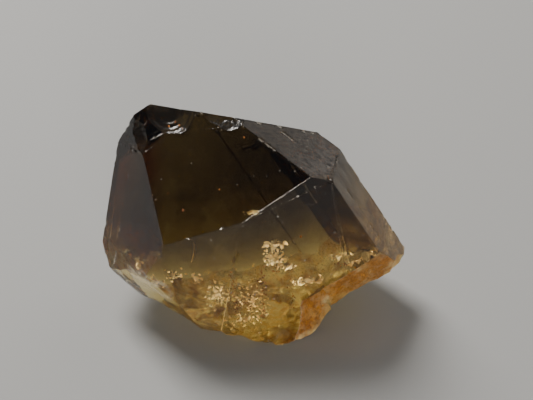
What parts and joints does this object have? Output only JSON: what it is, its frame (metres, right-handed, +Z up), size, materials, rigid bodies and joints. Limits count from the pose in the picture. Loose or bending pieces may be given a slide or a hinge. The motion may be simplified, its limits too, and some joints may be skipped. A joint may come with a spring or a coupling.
{
  "type": "citrine crystal",
  "caption": "Smoky citrine quartz crystal: a short lopsided six-sided point leaning on its rough broken base, with flat faces and chipped edges.",
  "frame": {"origin": "on the ground under the middle of the crystal's box, level with the flat of the broken base", "axes": "+Z up; +X along the longest side, towards the blunt end of the break; +Y from the largest point face, which looks forward and up, to the back"},
  "size_m": [0.0252, 0.0146, 0.0179],
  "materials": {
    "citrine": "clear smoky quartz with flat glossy faces and a rough, iron-stained break"
  },
  "bodies": {
    "root": {"crystal": "citrine"}
  },
  "joints": []
}
